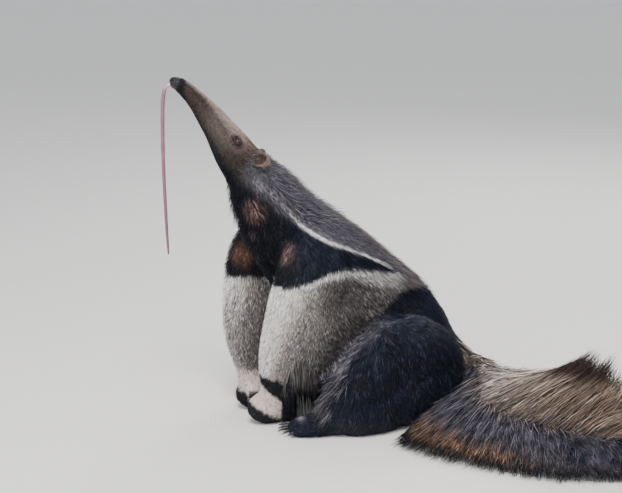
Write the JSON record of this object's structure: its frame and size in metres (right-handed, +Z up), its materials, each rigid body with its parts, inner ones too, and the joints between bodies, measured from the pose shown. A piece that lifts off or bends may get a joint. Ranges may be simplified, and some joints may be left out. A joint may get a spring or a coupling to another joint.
{
  "type": "giant anteater",
  "caption": "Life-size still model of an adult giant anteater sitting on its haunches, forelegs upright, head raised, tongue hanging out, bushy tail swept to its left.",
  "frame": {"origin": "middle of the seat's flat, on the floor that the model rests on", "axes": "+X towards the animal's left, +Y towards its back and tail, +Z up"},
  "size_m": [1.1156, 1.2428, 0.9301],
  "materials": {
    "coat_dark": "bristly coat",
    "coat_grey": "bristly coat",
    "coat_pale": "short coat",
    "coat_snout": "very short coat",
    "coat_tail": "long loose coat",
    "eye": "wet gloss",
    "tongue": "moist",
    "claw": "horn"
  },
  "bodies": {
    "root": {"head": "coat_snout", "ear_left": "coat_snout", "ear_right": "coat_snout", "eye_left": "eye", "eye_right": "eye", "tongue": "tongue", "neck": "coat_grey", "torso": "coat_grey", "foreleg_left": "coat_pale", "foreleg_right": "coat_pale", "forepaw_left": "coat_pale", "forepaw_right": "coat_pale", "hindleg_left": "coat_dark", "hindleg_right": "coat_dark", "hindfoot_left": "coat_dark", "hindfoot_right": "coat_dark", "tail_base": "coat_tail", "tail_middle": "coat_tail", "tail_tip": "coat_tail", "claw_fore_left_2": "claw", "claw_fore_left_3": "claw", "claw_fore_left_4": "claw", "claw_fore_right_2": "claw", "claw_fore_right_3": "claw", "claw_fore_right_4": "claw", "claw_hind_left_1": "claw", "claw_hind_left_2": "claw", "claw_hind_left_3": "claw", "claw_hind_left_4": "claw", "claw_hind_left_5": "claw", "claw_hind_right_1": "claw", "claw_hind_right_2": "claw", "claw_hind_right_3": "claw", "claw_hind_right_4": "claw", "claw_hind_right_5": "claw"}
  },
  "joints": []
}
